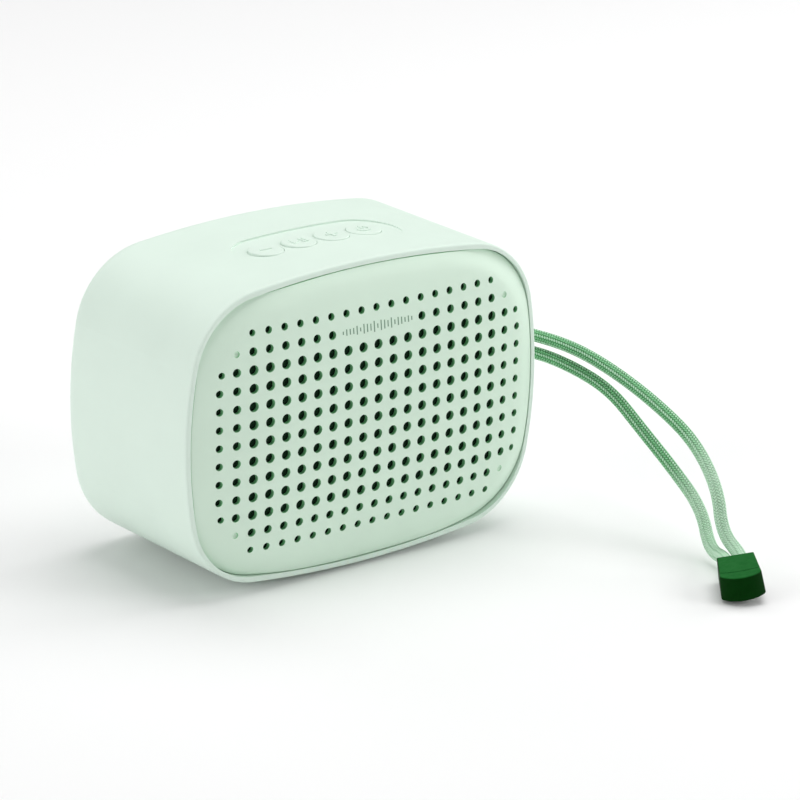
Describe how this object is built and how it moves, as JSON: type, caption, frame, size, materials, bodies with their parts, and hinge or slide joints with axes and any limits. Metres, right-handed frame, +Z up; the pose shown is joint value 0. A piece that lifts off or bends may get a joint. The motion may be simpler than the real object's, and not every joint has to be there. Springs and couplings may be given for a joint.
{
  "type": "portable speaker",
  "caption": "Small rounded box speaker with a domed perforated front, sprung top keys, a rear port flap and a braided wrist lanyard with a moulded end cap",
  "frame": {"origin": "On the table, under the middle of the body without its lanyard.", "axes": "+X towards the lanyard side, along the width. +Y towards the back, away from the grille. +Z up."},
  "size_m": [0.1141, 0.1123, 0.0695],
  "materials": {
    "housing_plastic": "fine matte mint moulding",
    "grille_plastic": "fine matte mint moulding, a shade deeper",
    "key_plastic": "fine matte mint moulding",
    "mint_rubber": "soft matte rubber",
    "mark_ink": "pad-printed ink",
    "mesh_cloth": "fine dark weave",
    "inner_plastic": "moulded, unpainted",
    "black_plastic": "moulded",
    "white_plastic": "moulded",
    "screw_steel": "zinc plated",
    "basket_steel": "stamped",
    "ferrite": "sintered",
    "foam": "closed-cell foam",
    "black_rubber": "smooth",
    "spider_cloth": "impregnated cloth",
    "cone_paper": "pressed pulp",
    "coil_brass": "enamelled wire",
    "circuit_board": "solder mask",
    "ribbon": "film",
    "capacitor_can": "drawn can",
    "lead_jacket": "silicone insulation",
    "battery_wrap": "laminated pouch",
    "cord_braid": "round braid with paler picks",
    "cap_rubber": "satin moulding"
  },
  "bodies": {
    "body": {"main_housing": "housing_plastic", "front_grille": "grille_plastic", "printed_mark": "mark_ink", "acoustic_mesh": "mesh_cloth", "speaker_baffle": "inner_plastic", "baffle_screws": "screw_steel", "driver_gasket": "foam", "driver_basket": "basket_steel", "driver_top_plate": "screw_steel", "driver_magnet": "ferrite", "driver_yoke": "screw_steel", "driver_screws": "screw_steel", "cone_surround": "black_rubber", "driver_spider": "spider_cloth", "tact_switches": "black_plastic", "key_board": "circuit_board", "key_board_screws": "screw_steel", "key_ribbon": "ribbon", "main_board": "circuit_board", "main_board_screws": "screw_steel", "usb_socket": "basket_steel", "card_slot": "basket_steel", "audio_jack": "black_plastic", "radio_module": "basket_steel", "amplifier_chip": "black_plastic", "capacitors": "capacitor_can", "lead_sockets": "white_plastic", "speaker_leads": "lead_jacket", "battery_leads": "lead_jacket", "battery_cell": "battery_wrap", "battery_pad": "foam", "battery_bracket": "inner_plastic", "bracket_screws": "screw_steel", "rubber_feet": "mint_rubber", "lanyard_bar": "screw_steel", "lanyard_upper_strand": "cord_braid", "lanyard_lower_strand": "cord_braid", "lanyard_end_cap": "cap_rubber"},
    "cone": {"speaker_cone": "cone_paper", "dust_cap": "cone_paper", "voice_coil": "coil_brass"},
    "minus_key": {"minus_button": "key_plastic"},
    "play_key": {"play_button": "key_plastic"},
    "plus_key": {"plus_button": "key_plastic"},
    "power_key": {"power_button": "key_plastic"},
    "port_flap": {"port_cover": "mint_rubber"}
  },
  "joints": [
    {"name": "cone_travel", "type": "slide", "parent": "body", "child": "cone", "axis": [0, -1, 0], "range_m": [-0.0012, 0.0012], "stiffness_N_per_m": 900},
    {"name": "minus_press", "type": "slide", "parent": "body", "child": "minus_key", "axis": [0, 0, -1], "range_m": [0, 0.00045], "stiffness_N_per_m": 1500, "springref_m": -0.0002},
    {"name": "play_press", "type": "slide", "parent": "body", "child": "play_key", "axis": [0, 0, -1], "range_m": [0, 0.00045], "stiffness_N_per_m": 1500, "springref_m": -0.0002},
    {"name": "plus_press", "type": "slide", "parent": "body", "child": "plus_key", "axis": [0, 0, -1], "range_m": [0, 0.00045], "stiffness_N_per_m": 1500, "springref_m": -0.0002},
    {"name": "power_press", "type": "slide", "parent": "body", "child": "power_key", "axis": [0, 0, -1], "range_m": [0, 0.00045], "stiffness_N_per_m": 1500, "springref_m": -0.0002},
    {"name": "flap_hinge", "type": "hinge", "parent": "body", "child": "port_flap", "pos_m": [0, 0.0238, 0.0073], "axis": [-1, 0, 0], "range_deg": [0, 90]}
  ]
}
